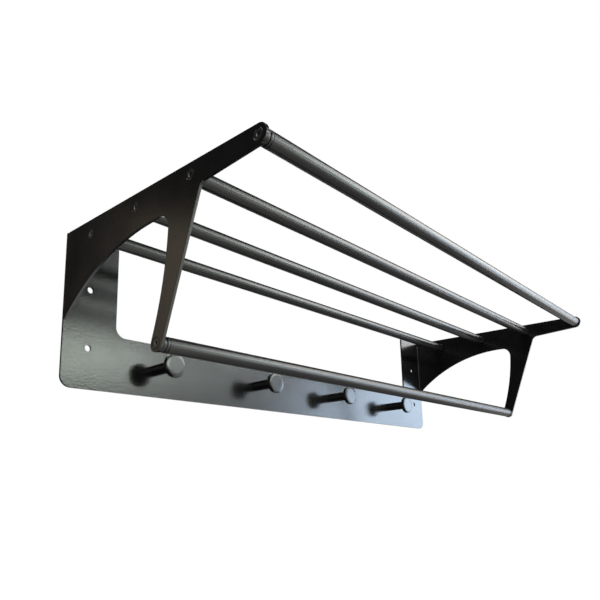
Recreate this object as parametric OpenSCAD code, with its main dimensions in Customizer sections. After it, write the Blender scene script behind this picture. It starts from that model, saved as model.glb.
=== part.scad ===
// Wall hook rack: a cut-out sheet steel wall plate and two sheet brackets that carry
// a hat shelf of tubes, a hanging rail below it and a row of coat pegs.
// +Z up, front faces -Y, origin on the wall at the middle of the peg row.

/* [Overall] */
// width over both brackets
rack_w = 600; // [400:5:1000]
// thickness of the wall plate and bracket sheet
sheet_t = 2.5; // [2:0.1:4]
// height of the rack at the wall
plate_h = 139; // [110:1:180]

/* [Wall plate] */
// width of the upright at each end
upright_w = 51; // [30:1:80]
// height of the band that carries the pegs
band_h = 52; // [40:1:80]
// radius of the two bottom corners
plate_corner_r = 10; // [2:0.5:20]
// radius where the uprights meet the band
cutout_r = 10; // [2:0.5:20]
// radius of the inner top corner of each upright
upright_top_r = 3; // [0.5:0.5:10]
// diameter of the wall screw holes
wall_hole_d = 6; // [4:0.5:8]
// distance of the wall holes from each end
wall_hole_in = 24; // [15:1:40]
// height of the lower wall holes
wall_hole_low = 37; // [20:1:60]
// height of the upper wall holes
wall_hole_high = 91; // [60:1:120]

/* [Shelf tubes and rail] */
// number of shelf tubes
shelf_tubes = 4; // [2:1:6]
// outer diameter of every tube
tube_d = 12; // [10:0.5:20]
// wall thickness of every tube
tube_wall = 1.5; // [1:0.1:2.5]
// height of the shelf tubes
shelf_z = 125; // [100:1:150]
// distance of the first shelf tube from the wall
shelf_first = 42.5; // [30:0.5:60]
// distance from one shelf tube to the next
shelf_pitch = 67.5; // [50:0.5:80]
// distance of the hanging rail from the wall
rail_out = 142; // [100:1:180]
// height of the hanging rail
rail_z = 11.5; // [8:0.5:40]

/* [Brackets] */
// radius of the rounded arm tip
tip_r = 7.5; // [6.5:0.5:12]
// radius of the rounded leg end
leg_end_r = 6.5; // [6:0.5:12]
// distance of the elbow under the arm from the wall
elbow_out = 189; // [160:1:210]
// height of the elbow under the arm
elbow_z = 115.3; // [105:0.1:120]
// radius in the elbow
elbow_r = 6; // [2:0.5:15]
// radius of the arch under the arm
arch_r = 200; // [150:5:300]
// distance of the arch centre from the wall
arch_out = 132; // [100:1:160]
// height of the top of the arch
arch_top = 106; // [90:1:112]
// radius where the arch runs into the leg
arch_corner_r = 12; // [4:0.5:20]
// distance of the leg's curve centre behind the wall
leg_curve_back = 106.5; // [60:0.5:160]
// height of the leg's curve centre
leg_curve_z = 108; // [80:1:130]
// radius of the rear top corner
back_top_r = 3; // [1:0.5:8]

/* [Pegs] */
// number of pegs
pegs = 4; // [2:1:8]
// distance from one peg to the next
peg_pitch = 136; // [80:1:200]
// height of the peg row
peg_z = 26.5; // [15:0.5:40]
// distance of the peg's front face from the wall
peg_reach = 35; // [25:1:60]
// diameter of the stem
stem_d = 11; // [8:0.5:16]
// diameter of the head
head_d = 23; // [16:0.5:32]
// thickness of the head
head_t = 5; // [3:0.5:8]
// rounding of the head's edges
head_edge = 1.2; // [0.5:0.1:2]

/* [Fixings] */
// visible length of an end plug
plug_len = 6; // [4:0.5:10]
// length of the plug's spigot inside the tube
spigot_len = 12; // [8:1:20]
// width of the groove round the plug
groove_w = 1; // [0.5:0.1:2]
// depth of the groove round the plug
groove_deep = 0.6; // [0.3:0.1:1]
// screw thread diameter
screw_d = 4; // [3:0.5:5]
// screw head diameter
screw_head_d = 8.4; // [6:0.1:9]
// screw head height
screw_head_h = 2.2; // [1.8:0.1:2.4]
// length of the screws
screw_len = 14; // [10:1:20]
// width across the flats of the hex socket
hex_af = 2.5; // [2:0.5:4]
// depth of the hex socket
hex_deep = 1.6; // [1:0.1:2]
// size of the weld bead in each inside corner
bead = 2; // [1:0.1:3]
// bead's distance from the top of the upright
bead_top_gap = 4; // [2:0.5:10]
// bead's distance above the foot of the bracket
bead_foot_gap = 2; // [1:0.5:10]

/* [Hidden] */
$fn = 96;

coat = [0.09, 0.09, 0.095];
plug_black = [0.16, 0.16, 0.17];
screw_black = [0.05, 0.05, 0.05];
zinc = [0.7, 0.71, 0.73];

half_w = rack_w / 2;
face_in = half_w - sheet_t;
thread_gap = 0.1;
head_gap = 0.1;
shank_gap = 0.15;
over = 1;
// how far an edge runs inside the round end that it meets, so that the two cross cleanly
cross = 0.02;
long_arc_fn = 360;
small_arc_fn = 48;

// forward and up positions of the five tubes, seen from the side
shelf_spots = [for (i = [0 : shelf_tubes - 1]) [shelf_first + i * shelf_pitch, shelf_z]];
rail_spot = [rail_out, rail_z];
tube_spots = concat(shelf_spots, [rail_spot]);

// bracket outline, as forward and up
back_top = [0, plate_h];
tip = shelf_spots[shelf_tubes - 1];
elbow = [elbow_out, elbow_z];
leg_end = rail_spot;
arch_c = [arch_out, arch_top - arch_r];
leg_curve_c = [-leg_curve_back, leg_curve_z];
leg_curve_r = norm(leg_end - leg_curve_c) - leg_end_r + cross;
foot_z = arch_c[1] + sqrt(arch_r * arch_r - pow(arch_out - sheet_t, 2));

function unit(v) = v / norm(v);
function heading(v) = atan2(v[1], v[0]);
function aim(a) = [cos(a), sin(a)];

// the direction from p that just touches the circle at c, on its left (1) or right (-1)
function touch_angle(p, c, r, side) = heading(c - p) + side * asin(r / norm(c - p));
function touch_point(p, c, r, side) =
    p + sqrt(pow(norm(c - p), 2) - r * r) * aim(touch_angle(p, c, r, side));

// the crossing of two circles that lies to the left of the line from a to b
function crossing(a, ra, b, rb) =
    let (d = norm(b - a),
         along = (d * d + ra * ra - rb * rb) / (2 * d),
         off = sqrt(ra * ra - along * along),
         u = unit(b - a))
    a + along * u + off * [-u[1], u[0]];

top_angle = touch_angle(back_top, tip, tip_r - cross, 1);
top_at_plate = back_top + sheet_t / cos(top_angle) * aim(top_angle);
under_angle = touch_angle(elbow, tip, tip_r - cross, -1);
leg_angle = touch_angle(elbow, leg_end, leg_end_r - cross, 1);
arch_corner_c = crossing(leg_curve_c, leg_curve_r - arch_corner_r, arch_c, arch_r - arch_corner_r);

// the bit between a corner at p and a round of radius r inside it
module corner_bit(p, angle_a, angle_b, r) {
    half = abs(angle_a - angle_b) / 2;
    run = r / tan(half);
    centre = p + r / sin(half) * aim((angle_a + angle_b) / 2);
    difference() {
        polygon([p, p + run * aim(angle_a), centre, p + run * aim(angle_b)]);
        translate(centre) circle(r);
    }
}

// moves heights measured from the plate's bottom edge to the row's origin
module on_wall() {
    translate([0, 0, -peg_z]) children();
}

// turns a side outline into a sheet whose outer or inner face is at x
module side_sheet(x) {
    translate([x, 0, 0]) rotate([90, 0, -90]) linear_extrude(sheet_t) children();
}

// puts something that runs along its own Z at a tube's place, pointing inwards from one side
module at_side(side, x, spot) {
    translate([side * x, -spot[0], spot[1]]) rotate([0, -side * 90, 0]) children();
}

module plate_outline() {
    left = -half_w;
    cut_x = half_w - upright_w;
    difference() {
        translate([left, 0]) square([rack_w, plate_h]);
        translate([-cut_x, band_h]) square([2 * cut_x, plate_h]);
        for (m = [0, 1])
            mirror([m, 0]) {
                corner_bit([left, 0], 0, 90, plate_corner_r);
                corner_bit([-cut_x, plate_h], 180, 270, upright_top_r);
                for (z = [wall_hole_low, wall_hole_high])
                    translate([left + wall_hole_in, z]) circle(d = wall_hole_d);
            }
    }
    for (m = [0, 1])
        mirror([m, 0]) corner_bit([-cut_x, band_h], 0, 90, cutout_r);
}

// the hole that a countersunk screw sits in
module countersink() {
    cylinder(h = screw_len, d = screw_d + 2 * shank_gap);
    cylinder(h = screw_head_h, d1 = screw_head_d + 2 * head_gap, d2 = screw_d);
}

module peg_spots() {
    for (i = [0 : pegs - 1])
        translate([(i - (pegs - 1) / 2) * peg_pitch, 0, peg_z]) children();
}

module wall_plate() {
    color(coat) on_wall()
        difference() {
            rotate([90, 0, 0]) linear_extrude(sheet_t) plate_outline();
            peg_spots() rotate([90, 0, 0]) countersink();
        }
}

// the square corner that the arch's small round leaves, out to where both arcs have passed
module arch_corner() {
    reach = 2 * arch_corner_r;
    up = arch_corner_c + reach * unit(arch_corner_c - arch_c);
    out = arch_corner_c + reach * unit(arch_corner_c - leg_curve_c);
    polygon([arch_corner_c, up, up + out - arch_corner_c, out]);
}

module arch_opening() {
    difference() {
        intersection() {
            translate(arch_c) circle(arch_r, $fn = long_arc_fn);
            translate(leg_curve_c) circle(leg_curve_r, $fn = long_arc_fn);
        }
        difference() {
            arch_corner();
            translate(arch_corner_c) circle(arch_corner_r);
        }
    }
}

module bracket_outline() {
    tip_top = touch_point(back_top, tip, tip_r - cross, 1);
    tip_under = touch_point(elbow, tip, tip_r - cross, -1);
    leg_front = touch_point(elbow, leg_end, leg_end_r - cross, 1);
    in_arch = (leg_end + leg_curve_c) / 2;
    difference() {
        union() {
            polygon([top_at_plate, [sheet_t, foot_z - arch_corner_r], in_arch,
                leg_end, leg_front, elbow, tip_under, tip_top]);
            translate(tip) circle(tip_r);
            translate(leg_end) circle(leg_end_r);
            corner_bit(elbow, leg_angle, under_angle, elbow_r);
        }
        arch_opening();
        corner_bit(top_at_plate, -90, top_angle, back_top_r);
    }
}

module bracket(side) {
    color(coat) on_wall()
        difference() {
            side_sheet(side > 0 ? half_w : -face_in) bracket_outline();
            for (spot = tube_spots)
                at_side(side, half_w, spot) countersink();
        }
}

module tube(spot) {
    len = 2 * (face_in - plug_len);
    color(coat) on_wall()
        at_side(-1, len / 2, spot)
            difference() {
                cylinder(h = len, d = tube_d);
                translate([0, 0, -over])
                    cylinder(h = len + 2 * over, d = tube_d - 2 * tube_wall);
            }
}

module end_plug(side, spot) {
    color(plug_black) on_wall()
        at_side(side, face_in, spot)
            difference() {
                union() {
                    cylinder(h = plug_len, d = tube_d);
                    cylinder(h = plug_len + spigot_len, d = tube_d - 2 * tube_wall);
                }
                translate([0, 0, -over])
                    cylinder(h = plug_len + spigot_len + 2 * over, d = screw_d + 2 * thread_gap);
                translate([0, 0, (plug_len - groove_w) / 2])
                    difference() {
                        cylinder(h = groove_w, d = tube_d + over);
                        cylinder(h = groove_w, d = tube_d - 2 * groove_deep);
                    }
            }
}

module countersunk_screw() {
    difference() {
        union() {
            cylinder(h = screw_len, d = screw_d);
            cylinder(h = screw_head_h, d1 = screw_head_d, d2 = screw_d);
        }
        translate([0, 0, -over]) cylinder(h = hex_deep + over, d = hex_af / cos(30), $fn = 6);
    }
}

module bracket_screws(side) {
    color(screw_black) on_wall()
        for (spot = tube_spots)
            at_side(side, half_w, spot) countersunk_screw();
}

module peg_screws() {
    color(zinc) on_wall() peg_spots() rotate([90, 0, 0]) countersunk_screw();
}

module peg_half_profile() {
    head_r = head_d / 2;
    head_back = peg_reach - head_t;
    translate([0, sheet_t]) square([stem_d / 2, head_back]);
    translate([0, head_back]) square([head_r - head_edge, head_t]);
    translate([0, head_back + head_edge]) square([head_r, head_t - 2 * head_edge]);
    for (y = [head_back + head_edge, peg_reach - head_edge])
        translate([head_r - head_edge, y]) circle(head_edge, $fn = small_arc_fn);
}

module peg(i) {
    bore = screw_len + over;
    color(coat)
        translate([(i - (pegs + 1) / 2) * peg_pitch, 0, 0])
            rotate([90, 0, 0])
                difference() {
                    rotate_extrude() peg_half_profile();
                    cylinder(h = bore, d = screw_d + 2 * thread_gap);
                }
}

module corner_seam(side) {
    low = foot_z + bead_foot_gap;
    high = plate_h - bead_top_gap;
    color(coat) on_wall()
        translate([side * face_in, -sheet_t, low])
            intersection() {
                cylinder(h = high - low, r = bead);
                translate([side > 0 ? -bead : 0, -bead, 0]) cube([bead, bead, high - low]);
            }
}

wall_plate();
bracket(-1);  // bracket_left
bracket(1);  // bracket_right
tube(shelf_spots[0]);  // shelf_tube_1
tube(shelf_spots[1]);  // shelf_tube_2
tube(shelf_spots[2]);  // shelf_tube_3
tube(shelf_spots[3]);  // shelf_tube_4
tube(rail_spot);  // hanging_rail
peg(1);  // peg_1
peg(2);  // peg_2
peg(3);  // peg_3
peg(4);  // peg_4
end_plug(-1, shelf_spots[0]);  // shelf_plug_left_1
end_plug(-1, shelf_spots[1]);  // shelf_plug_left_2
end_plug(-1, shelf_spots[2]);  // shelf_plug_left_3
end_plug(-1, shelf_spots[3]);  // shelf_plug_left_4
end_plug(1, shelf_spots[0]);  // shelf_plug_right_1
end_plug(1, shelf_spots[1]);  // shelf_plug_right_2
end_plug(1, shelf_spots[2]);  // shelf_plug_right_3
end_plug(1, shelf_spots[3]);  // shelf_plug_right_4
end_plug(-1, rail_spot);  // rail_plug_left
end_plug(1, rail_spot);  // rail_plug_right
bracket_screws(-1);  // bracket_screws_left
bracket_screws(1);  // bracket_screws_right
peg_screws();
corner_seam(-1);  // corner_seam_left
corner_seam(1);  // corner_seam_right
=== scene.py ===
import math

import bmesh
import bpy
from mathutils import Matrix, Vector


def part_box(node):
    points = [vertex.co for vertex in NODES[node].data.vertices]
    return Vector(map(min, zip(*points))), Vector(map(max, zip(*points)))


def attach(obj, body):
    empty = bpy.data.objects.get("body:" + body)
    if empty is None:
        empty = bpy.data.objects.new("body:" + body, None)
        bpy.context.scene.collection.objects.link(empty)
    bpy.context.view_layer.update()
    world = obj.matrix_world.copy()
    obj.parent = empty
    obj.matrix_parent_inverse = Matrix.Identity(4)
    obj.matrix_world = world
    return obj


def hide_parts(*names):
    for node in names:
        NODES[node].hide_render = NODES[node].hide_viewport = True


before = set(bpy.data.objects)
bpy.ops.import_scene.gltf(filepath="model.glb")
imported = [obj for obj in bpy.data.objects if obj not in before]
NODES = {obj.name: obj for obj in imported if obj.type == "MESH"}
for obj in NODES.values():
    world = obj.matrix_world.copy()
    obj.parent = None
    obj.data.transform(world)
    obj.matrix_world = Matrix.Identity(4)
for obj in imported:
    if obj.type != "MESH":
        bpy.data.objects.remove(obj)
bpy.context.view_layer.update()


MM = 0.001

# ---- camera: seen from the left, in front and below -------------------------------------------
CAMERA_AT = (-526.54 * MM, -475.81 * MM, -116.01 * MM)
HEADING = math.radians(47.81)      # from +Y towards +X
TILT = math.radians(11.286)        # upwards
ROLL = math.radians(-1.219)
LENS = 35.008
SENSOR = 36.0
SHIFT_X = 0.01025
SHIFT_Y = 0.12071
NEAREST = 0.01
FURTHEST = 100.0


def make_camera():
    data = bpy.data.cameras.new("camera")
    data.sensor_width = SENSOR
    data.lens = LENS
    data.shift_x = SHIFT_X
    data.shift_y = SHIFT_Y
    data.clip_start = NEAREST
    data.clip_end = FURTHEST
    cam = bpy.data.objects.new("camera", data)
    turn = (Matrix.Rotation(-HEADING, 4, "Z")
            @ Matrix.Rotation(math.pi / 2 + TILT, 4, "X")
            @ Matrix.Rotation(ROLL, 4, "Z"))
    cam.matrix_world = Matrix.Translation(CAMERA_AT) @ turn
    bpy.context.scene.collection.objects.link(cam)
    bpy.context.scene.camera = cam


# ---- materials --------------------------------------------------------------------------------
NOISES = (("cloud", 24.0, 3.0), ("peel", 460.0, 2.0), ("speck", 2600.0, 1.0))  # scale, detail
NOISE_ROUGHNESS = 0.55
COLOUR_RANGE = (0.35, 0.65)     # the part of a noise's range that spans a whole change
GLOSS_RANGE = (0.3, 0.7)
PEEL_HEIGHT = 0.12 * MM
SPECK_HEIGHT = 0.04 * MM
MIX_FACTOR = 0          # socket numbers of a Mix node that mixes colours
MIX_A = 6
MIX_B = 7
MIX_RESULT = 2


def node_of(tree, kind, **values):
    node = tree.nodes.new(kind)
    for name, value in values.items():
        node.inputs[name.replace("_", " ")].default_value = value
    return node


def ramp(tree, source, low, high, out_low, out_high):
    """Maps a socket's values from low to high onto out_low to out_high."""
    node = tree.nodes.new("ShaderNodeMapRange")
    node.inputs["From Min"].default_value = low
    node.inputs["From Max"].default_value = high
    node.inputs["To Min"].default_value = out_low
    node.inputs["To Max"].default_value = out_high
    tree.links.new(source, node.inputs["Value"])
    return node.outputs["Result"]


def coat_material(name, dark, light, rough, peel, speck, specular=0.5, metallic=0.0):
    """A coated or finished metal: its colour drifts softly between dark and light and its
    roughness between the two values of rough. peel is the strength of the orange peel, and
    speck is how far fine specks change the roughness."""
    mat = bpy.data.materials.new(name)
    mat.use_nodes = True
    tree = mat.node_tree
    shader = tree.nodes["Principled BSDF"]
    shader.inputs["Metallic"].default_value = metallic
    shader.inputs["Specular IOR Level"].default_value = specular
    place = tree.nodes.new("ShaderNodeTexCoord").outputs["Object"]
    noises = {}
    for key, scale, detail in NOISES:
        noise = node_of(tree, "ShaderNodeTexNoise", Scale=scale, Detail=detail,
                        Roughness=NOISE_ROUGHNESS)
        tree.links.new(place, noise.inputs["Vector"])
        noises[key] = noise.outputs["Fac"]
    mix = tree.nodes.new("ShaderNodeMix")
    mix.data_type = "RGBA"
    mix.inputs[MIX_A].default_value = (*dark, 1.0)
    mix.inputs[MIX_B].default_value = (*light, 1.0)
    tree.links.new(ramp(tree, noises["cloud"], *COLOUR_RANGE, 0.0, 1.0), mix.inputs[MIX_FACTOR])
    tree.links.new(mix.outputs[MIX_RESULT], shader.inputs["Base Color"])
    total = tree.nodes.new("ShaderNodeMath")
    total.operation = "ADD"
    tree.links.new(ramp(tree, noises["cloud"], *GLOSS_RANGE, *rough), total.inputs[0])
    tree.links.new(ramp(tree, noises["speck"], *GLOSS_RANGE, -speck, speck), total.inputs[1])
    tree.links.new(total.outputs[0], shader.inputs["Roughness"])
    fine = node_of(tree, "ShaderNodeBump", Strength=peel / 2, Distance=SPECK_HEIGHT)
    tree.links.new(noises["speck"], fine.inputs["Height"])
    wave = node_of(tree, "ShaderNodeBump", Strength=peel, Distance=PEEL_HEIGHT)
    tree.links.new(noises["peel"], wave.inputs["Height"])
    tree.links.new(fine.outputs["Normal"], wave.inputs["Normal"])
    tree.links.new(wave.outputs["Normal"], shader.inputs["Normal"])
    return mat


# the darkest and the lightest colour of each finish
BLACK = ((0.005, 0.005, 0.0052), (0.008, 0.008, 0.0082))
TUBE_BLACK = ((0.009, 0.009, 0.0092), (0.014, 0.014, 0.0142))
PLUG_BLACK = ((0.008, 0.008, 0.0085), (0.013, 0.013, 0.0135))
OXIDE_BLACK = ((0.012, 0.012, 0.013), (0.022, 0.0215, 0.022))
ZINC_GREY = ((0.55, 0.56, 0.58), (0.66, 0.67, 0.69))
PLATE_COAT = coat_material("powder_coat_plate", *BLACK, rough=(0.15, 0.20), peel=0.65, speck=0.02)
COAT = coat_material("powder_coat", *BLACK, rough=(0.15, 0.20), peel=0.18, speck=0.02)
TUBE_COAT = coat_material("powder_coat_tube", *TUBE_BLACK, rough=(0.29, 0.33), peel=0.02,
                          speck=0.015)
PLUG = coat_material("plug_coat", *PLUG_BLACK, rough=(0.22, 0.28), peel=0.06, speck=0.03)
SCREW = coat_material("black_oxide", *OXIDE_BLACK, rough=(0.22, 0.30), peel=0.05, speck=0.05,
                      specular=0.8)
ZINC = coat_material("zinc_plate", *ZINC_GREY, rough=(0.28, 0.40), peel=0.06, speck=0.05,
                     metallic=1.0)


# ---- making pieces ----------------------------------------------------------------------------
CREASE = math.radians(35)           # edges sharper than this stay sharp in the shading
SAME_POINT = 1e-6                   # points nearer than this are one
SAME_RING_POINT = 1e-7
FLAT = math.radians(0.5)            # faces that differ by less are one flat face
SHARP = math.radians(30)            # edges sharper than this are rounded by the coat
NORMAL_WEIGHT = 100                 # how far large faces rule the shading of small ones
TURNS = 96
SCREW_TURNS = 48


def finish_piece(bm, name, mat, node):
    """Turns a bmesh in the row frame into the visible piece of a CAD node."""
    bmesh.ops.recalc_face_normals(bm, faces=bm.faces)
    mesh = bpy.data.meshes.new(name)
    bm.to_mesh(mesh)
    bm.free()
    mesh.polygons.foreach_set("use_smooth", [True] * len(mesh.polygons))
    mesh.set_sharp_from_angle(angle=CREASE)
    mesh.materials.append(mat)
    piece = bpy.data.objects.new(name, mesh)
    bpy.context.scene.collection.objects.link(piece)
    normals = piece.modifiers.new("flat faces stay flat", "WEIGHTED_NORMAL")
    normals.weight = NORMAL_WEIGHT
    normals.keep_sharp = True
    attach(piece, "root")
    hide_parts(node)


def softened_copy(node, width, segments=3):
    """The CAD node's own shape with every sharp edge rounded by the coat."""
    bm = bmesh.new()
    bm.from_mesh(NODES[node].data)
    bmesh.ops.remove_doubles(bm, verts=bm.verts, dist=SAME_POINT)
    bmesh.ops.dissolve_limit(bm, angle_limit=FLAT, verts=bm.verts, edges=bm.edges, delimit=set())
    sharp = [e for e in bm.edges if len(e.link_faces) == 2 and e.calc_face_angle() > SHARP]
    bmesh.ops.bevel(bm, geom=sharp, offset=width, segments=segments, profile=0.5,
                    affect="EDGES", clamp_overlap=True, offset_type="OFFSET")
    bmesh.ops.dissolve_degenerate(bm, dist=SAME_POINT, edges=bm.edges)
    return bm


def add_lathe(bm, rings, start, along, turns=TURNS):
    """Rings of (radius, distance, hex share) about the line from start; radius 0 closes an end.
    A hex share of 1 makes the ring a hexagon, and radius is then half its width across flats."""
    along = Vector(along)
    side = Vector((0, 0, 1))
    across = along.cross(side)
    previous = None
    for radius, distance, hexed in rings:
        centre = Vector(start) + along * distance
        if radius == 0:
            ring = [bm.verts.new(centre)]
        else:
            ring = []
            for i in range(turns):
                a = 2 * math.pi * i / turns
                to_flat = 1 / math.cos((a + math.pi / 6) % (math.pi / 3) - math.pi / 6)
                r = radius * (1 + hexed * (to_flat - 1))
                ring.append(bm.verts.new(centre + side * r * math.cos(a) + across * r * math.sin(a)))
        if previous:
            for i in range(turns):
                j = (i + 1) % turns
                if len(previous) == 1:
                    bm.faces.new((previous[0], ring[i], ring[j]))
                elif len(ring) == 1:
                    bm.faces.new((previous[i], previous[j], ring[0]))
                else:
                    bm.faces.new((previous[i], previous[j], ring[j], ring[i]))
        previous = ring


def close_rings(bm, rings, start, along):
    """A lathe whose last ring meets its first, for a tube or a bored plug."""
    add_lathe(bm, rings + [rings[0]], start, along)
    bmesh.ops.remove_doubles(bm, verts=bm.verts, dist=SAME_RING_POINT)


def round_over(centre_r, centre_d, radius, first, step, count):
    """Rings along an arc of a turned outline: angles from straight out, in degrees."""
    rings = []
    for k in range(count):
        a = math.radians(first + step * k)
        rings.append((centre_r + radius * math.cos(a), centre_d + radius * math.sin(a), 0))
    return rings


# ---- the pieces -------------------------------------------------------------------------------
EDGE = 0.35 * MM            # how far the coat rounds a sheet's edges
TUBE_WALL = 1.5 * MM
RIM = 0.25 * MM             # chamfer at a tube's end
SCREW_BORE = 2.1 * MM       # radius of the hole that a screw's thread fills
NUMBERS = (1, 2, 3, 4)      # the shelf tubes from the wall out, and the pegs from the left


def make_sheets():
    for node, mat in (("wall_plate", PLATE_COAT), ("bracket_left", COAT), ("bracket_right", COAT)):
        finish_piece(softened_copy(node, EDGE), node + "_coated", mat, node)


def make_tube(node):
    low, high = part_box(node)
    r = (high.z - low.z) / 2
    inner = r - TUBE_WALL
    length = high.x - low.x
    rings = [(inner, 0, 0), (inner + RIM, 0, 0)]
    rings += [(r - RIM, 0, 0), (r, RIM, 0), (r, length - RIM, 0), (r - RIM, length, 0)]
    rings += [(inner + RIM, length, 0), (inner, length, 0)]
    bm = bmesh.new()
    close_rings(bm, rings, (low.x, (low.y + high.y) / 2, (low.z + high.z) / 2), (1, 0, 0))
    finish_piece(bm, node + "_coated", TUBE_COAT, node)


def bead_rings(r, low, high, low_round, high_round, steps=4):
    """A raised ring of a turned part, with its two outer edges rounded."""
    rings = []
    for k in range(steps + 1):
        a = math.pi / 2 * k / steps
        rings.append((r - low_round * (1 - math.sin(a)), low + low_round * (1 - math.cos(a)), 0))
    for k in range(steps + 1):
        a = math.pi / 2 * k / steps
        rings.append((r - high_round * (1 - math.cos(a)), high - high_round * (1 - math.sin(a)), 0))
    return rings


def make_plug(node):
    """An end plug: a collar of two rings beside a groove, and a spigot inside the tube."""
    low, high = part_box(node)
    inwards = 1 if low.x < 0 else -1
    start = (low.x if inwards > 0 else high.x, (low.y + high.y) / 2, (low.z + high.z) / 2)
    r = (high.z - low.z) / 2
    spigot = r - TUBE_WALL
    collar = 6.0 * MM
    length = high.x - low.x
    half_groove = 0.5 * MM
    deep = 0.6 * MM
    mid = collar / 2
    outer_round = 0.8 * MM
    groove_round = 0.5 * MM
    lead_in = 0.7 * MM
    rings = [(SCREW_BORE, 0, 0)]
    rings += bead_rings(r, 0, mid - half_groove, outer_round, groove_round)
    rings += [(r - deep, mid - half_groove, 0), (r - deep, mid + half_groove, 0)]
    rings += bead_rings(r, mid + half_groove, collar, groove_round, outer_round)
    rings += [(spigot, collar, 0), (spigot, length - lead_in, 0), (spigot - lead_in, length, 0)]
    rings += [(SCREW_BORE, length, 0)]
    bm = bmesh.new()
    close_rings(bm, rings, start, (inwards, 0, 0))
    finish_piece(bm, node + "_turned", PLUG, node)


def screw_rings():
    """A countersunk screw from the bottom of its hex socket, over its head, to its tip."""
    head = 4.2 * MM
    head_depth = 2.2 * MM
    edge = 0.3 * MM             # the head's rim is softened by this
    face = 0.72 * head          # inner edge of the head's flat ring
    shank = 2.0 * MM
    length = 14.0 * MM
    point = 0.5 * MM
    socket = 1.25 * MM
    socket_depth = 1.6 * MM
    cone_depth = 1.9 * MM       # the drill point under the socket
    cone_ring = 1.7 * MM
    cone_share = 0.6
    mouth = 0.45 * MM           # the socket's mouth flares by this
    mouth_hex = 0.3             # and is this far from round to hexagonal
    return [(0, cone_depth, 0), (socket * cone_share, cone_ring, 1), (socket, socket_depth, 1),
            (socket, mouth, 1), (socket + mouth, 0, mouth_hex), (face, 0, 0),
            (head - 1.5 * edge, 0, 0), (head - edge / 2, edge / 2, 0), (shank, head_depth, 0),
            (shank, length - point, 0), (shank - point, length, 0), (0, length, 0)]


def make_bracket_screws(side, name):
    """One screw at the middle of each end plug, flush with the bracket's outer face."""
    bm = bmesh.new()
    spots = [f"shelf_plug_{name}_{i}" for i in NUMBERS] + [f"rail_plug_{name}"]
    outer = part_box(f"bracket_{name}")[0 if side < 0 else 1].x
    for node in spots:
        low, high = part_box(node)
        centre = (outer, (low.y + high.y) / 2, (low.z + high.z) / 2)
        add_lathe(bm, screw_rings(), centre, (-side, 0, 0), SCREW_TURNS)
    node = f"bracket_screws_{name}"
    finish_piece(bm, node + "_heads", SCREW, node)


def make_peg_screws():
    """One screw behind each peg, flush with the plate's rear face."""
    bm = bmesh.new()
    for i in NUMBERS:
        low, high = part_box(f"peg_{i}")
        centre = ((low.x + high.x) / 2, 0, (low.z + high.z) / 2)
        add_lathe(bm, screw_rings(), centre, (0, -1, 0), SCREW_TURNS)
    finish_piece(bm, "peg_screws_heads", ZINC, "peg_screws")


def make_peg(node):
    """A coat peg turned in one piece, from the middle of its face round to its screw hole."""
    low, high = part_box(node)
    head = (high.x - low.x) / 2
    start = ((low.x + high.x) / 2, high.y, (low.z + high.z) / 2)
    length = high.y - low.y
    stem = 5.5 * MM
    thick = 5.0 * MM
    rim = 1.2 * MM              # rounding of the head's edges
    neck = 0.6 * MM             # fillet between stem and head
    step_out = 0.5 * MM         # flat ring outside the fillet
    foot = 0.3 * MM             # chamfer at the plate
    deep = 12.5 * MM
    back = length - thick
    flat = head * 0.6           # the face is flat up to here and then domed
    fall = 0.17 * MM            # how far the dome falls at the rim
    dome_steps = 5
    rings = [(0, length, 0), (flat, length, 0)]
    for k in range(1, dome_steps):
        out = k / dome_steps
        rings.append((flat + (head - rim - flat) * out, length - fall * out * out, 0))
    rings += round_over(head - rim, length - fall - rim, rim, 84, -14, 7)
    rings += round_over(head - rim, back + rim, rim, 0, -15, 7)
    rings.append((stem + neck + step_out, back, 0))
    rings += round_over(stem + neck, back - neck, neck, 90, 22.5, 5)
    rings += [(stem, foot, 0), (stem - foot, 0, 0), (SCREW_BORE, 0, 0), (SCREW_BORE, deep, 0)]
    rings += [(0, deep, 0)]
    bm = bmesh.new()
    add_lathe(bm, rings, start, (0, -1, 0))
    finish_piece(bm, node + "_turned", COAT, node)


def make_seam(node):
    """A fillet weld bead with its ripples, in the corner between bracket and plate."""
    low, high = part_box(node)
    side = 1 if low.x > 0 else -1
    corner_x = high.x if side > 0 else low.x
    corner_y = high.y
    size = high.x - low.x
    ripple = 1.5 * MM
    ripple_low = 0.80           # the bead's size between two ripples, as a share
    ripple_rise = 0.16          # and how much a ripple adds
    end_size = 0.35             # the bead starts and ends at this share
    end_rise = 12               # and grows at this rate over the length as a share
    hollow = 0.22               # how far the bead's face is drawn in between its toes
    step = 0.3 * MM
    arcs = 8
    count = int((high.z - low.z) / step)
    bm = bmesh.new()
    loops = []
    for k in range(count + 1):
        along = k / count
        z = low.z + (high.z - low.z) * along
        taper = min(1.0, end_size + end_rise * min(along, 1 - along))
        wave = ripple_low + ripple_rise * abs(math.sin(math.pi * (z - low.z) / ripple))
        r = size * taper * wave
        loop = [bm.verts.new((corner_x, corner_y, z))]
        for i in range(arcs + 1):
            a = math.pi / 2 * i / arcs
            reach = r * (1 - hollow * math.sin(2 * a))
            loop.append(bm.verts.new((corner_x - side * reach * math.cos(a),
                                      corner_y - reach * math.sin(a), z)))
        loops.append(loop)
    width = arcs + 2
    for lower, upper in zip(loops, loops[1:]):
        for i in range(width):
            j = (i + 1) % width
            bm.faces.new((lower[i], lower[j], upper[j], upper[i]))
    bm.faces.new(loops[0])
    bm.faces.new(loops[-1])
    finish_piece(bm, node + "_bead", COAT, node)


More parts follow.
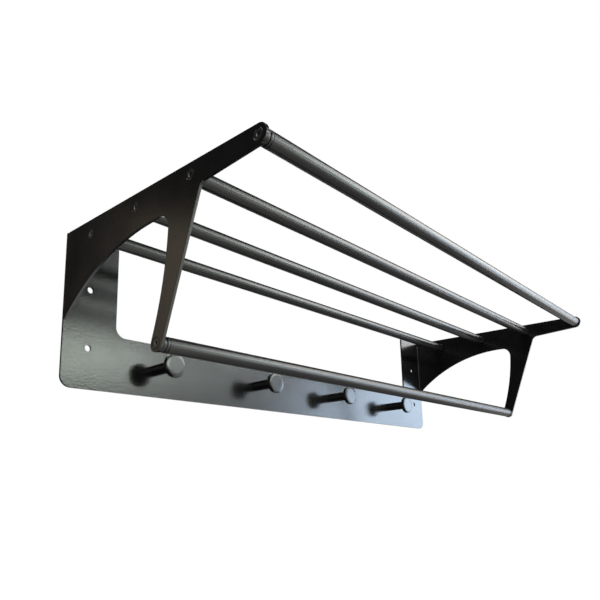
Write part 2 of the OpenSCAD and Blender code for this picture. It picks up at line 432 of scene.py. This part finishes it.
# ---- stage and light --------------------------------------------------------------------------
FLOOR_Z = -1.15
FLOOR_HALF = 200.0
FLOOR_GREY = 0.86
WHITE = (1, 1, 1, 1)
WORLD_LIGHT = 0.025         # faint light from everywhere
FAR = 6.0                   # distance of the panels that are sized in degrees
COOL = (0.62, 0.79, 1.0)
BLUISH = (0.74, 0.88, 1.0)
GREEN = (0.89, 1.0, 0.88)
PALE = (0.87, 1.0, 0.96)
WARM = (1.0, 0.84, 0.62)
SUNNY = (1.0, 1.0, 0.97)
YELLOWISH = (1.0, 1.0, 0.84)
STRAW = (1.0, 1.0, 0.88)


def make_floor():
    """A plain pale floor, out of the way of the light on the rack."""
    bm = bmesh.new()
    bmesh.ops.create_grid(bm, x_segments=2, y_segments=2, size=FLOOR_HALF)
    mesh = bpy.data.meshes.new("floor")
    bm.to_mesh(mesh)
    bm.free()
    floor = bpy.data.objects.new("floor", mesh)
    floor.location.z = FLOOR_Z
    bpy.context.scene.collection.objects.link(floor)
    mat = bpy.data.materials.new("pale_floor")
    mat.use_nodes = True
    shader = mat.node_tree.nodes["Principled BSDF"]
    shader.inputs["Base Color"].default_value = (FLOOR_GREY, FLOOR_GREY, FLOOR_GREY, 1)
    shader.inputs["Roughness"].default_value = 0.9
    shader.inputs["Specular IOR Level"].default_value = 0.1
    shader.inputs["Emission Color"].default_value = WHITE
    shader.inputs["Emission Strength"].default_value = 1.0
    mesh.materials.append(mat)
    floor.visible_glossy = False
    floor.visible_diffuse = False
    floor.visible_shadow = False


def softbox(name, heading, lift, distance, width, height, radiance, colour=(1, 1, 1)):
    """A soft light seen from the rack at heading (from -Y towards +X) and lift, in degrees."""
    turn = math.radians(heading)
    rise = math.radians(lift)
    way = Vector((math.cos(rise) * math.sin(turn), -math.cos(rise) * math.cos(turn), math.sin(rise)))
    data = bpy.data.lights.new(name, "AREA")
    data.shape = "RECTANGLE"
    data.size = width
    data.size_y = height
    data.energy = radiance * math.pi * width * height
    data.color = colour
    lamp = bpy.data.objects.new(name, data)
    lamp.location = way * distance
    lamp.rotation_euler = (-way).to_track_quat("-Z", "Y").to_euler()
    lamp.visible_camera = False
    bpy.context.scene.collection.objects.link(lamp)


def far_panel(name, heading, lift, wide, high, radiance, colour=(1, 1, 1)):
    """A soft light far off that spans wide by high degrees as the rack sees it."""
    width = 2 * FAR * math.tan(math.radians(wide) / 2)
    height = 2 * FAR * math.tan(math.radians(high) / 2)
    softbox(name, heading, lift, FAR, width, height, radiance, colour)


def make_world():
    """White where the camera sees it, nearly dark for the light on the rack."""
    world = bpy.data.worlds.new("studio")
    bpy.context.scene.world = world
    world.use_nodes = True
    tree = world.node_tree
    tree.nodes.clear()
    seen = node_of(tree, "ShaderNodeBackground", Color=WHITE, Strength=1.0)
    lit = node_of(tree, "ShaderNodeBackground", Color=WHITE, Strength=WORLD_LIGHT)
    path = tree.nodes.new("ShaderNodeLightPath")
    mix = tree.nodes.new("ShaderNodeMixShader")
    out = tree.nodes.new("ShaderNodeOutputWorld")
    tree.links.new(path.outputs["Is Camera Ray"], mix.inputs[0])
    tree.links.new(lit.outputs[0], mix.inputs[1])
    tree.links.new(seen.outputs[0], mix.inputs[2])
    tree.links.new(mix.outputs[0], out.inputs[0])


def make_lights():
    # far_panel: name, heading, lift, degrees wide, degrees high, radiance, colour
    # softbox: name, heading, lift, distance, width, height, radiance, colour
    far_panel("front_key_low", 23.0, 12.5, 15.0, 3.8, 14.0, GREEN)
    far_panel("front_key_mid", 24.0, 16.2, 12.0, 3.6, 6.0, GREEN)
    far_panel("front_key_high", 25.0, 19.4, 10.0, 4.4, 0.3, GREEN)
    far_panel("front_mid_left", 34.2, 14.0, 8.5, 9.0, 3.0, PALE)
    far_panel("front_dip", 41.0, 12.0, 5.0, 13.0, 1.0, PALE)
    far_panel("front_mid_right", 47.2, 11.0, 7.5, 15.0, 1.3, BLUISH)
    far_panel("window_low", 59.0, 6.5, 19.0, 11.0, 8.6, COOL)
    far_panel("window_sill", 65, -8, 12, 13, 5.0)
    softbox("window_high", 53, 30, 2.0, 1.0, 1.10, 6.0, SUNNY)
    softbox("front_right_fill", 52, 12, 2.4, 2.6, 1.8, 0.9)
    softbox("low_right_fill", 58, -36, 1.4, 1.6, 1.4, 0.25)
    far_panel("back_left_card", 180 + 42, 15.0, 12.0, 22.0, 0.75, WARM)
    far_panel("front_card", 0, 2, 26, 22, 0.7)
    far_panel("front_low_card", 31, -27, 13, 46, 2.0, YELLOWISH)
    far_panel("under_front_card", 38, -52, 14, 18, 1.6, STRAW)
    far_panel("under_right_card", 112, -68, 40, 16, 1.6)
    far_panel("tube_line_high", 42, 19, 11, 8, 12.0, PALE)
    far_panel("tube_line_low", 40, -4, 14, 12, 5.0, PALE)
    far_panel("left_card", -60, -12, 50, 26, 0.6)
    far_panel("left_low_strip", -72, -22, 18, 18, 3.0)
    far_panel("right_card", 90, -8, 34, 26, 0.7)
    far_panel("back_card", 180, -6, 40, 24, 0.7)
    far_panel("back_right_card", 135, -16, 36, 22, 0.45)
    softbox("top_left_box", -70, 62, 2.0, 1.4, 1.4, 3.0)
    softbox("front_left_box", -38, 12, 2.2, 1.3, 1.0, 3.0)
    softbox("back_right_box", 148, 22, 2.2, 1.4, 1.4, 2.5)


make_camera()
make_sheets()
for tube_node in [f"shelf_tube_{i}" for i in NUMBERS] + ["hanging_rail"]:
    make_tube(tube_node)
for plug_node in sorted(n for n in NODES if "plug" in n):
    make_plug(plug_node)
for i in NUMBERS:
    make_peg(f"peg_{i}")
make_bracket_screws(-1, "left")
make_bracket_screws(1, "right")
make_peg_screws()
for seam_node in ("corner_seam_left", "corner_seam_right"):
    make_seam(seam_node)
make_floor()
make_world()
make_lights()
bpy.context.scene.view_settings.view_transform = "Standard"
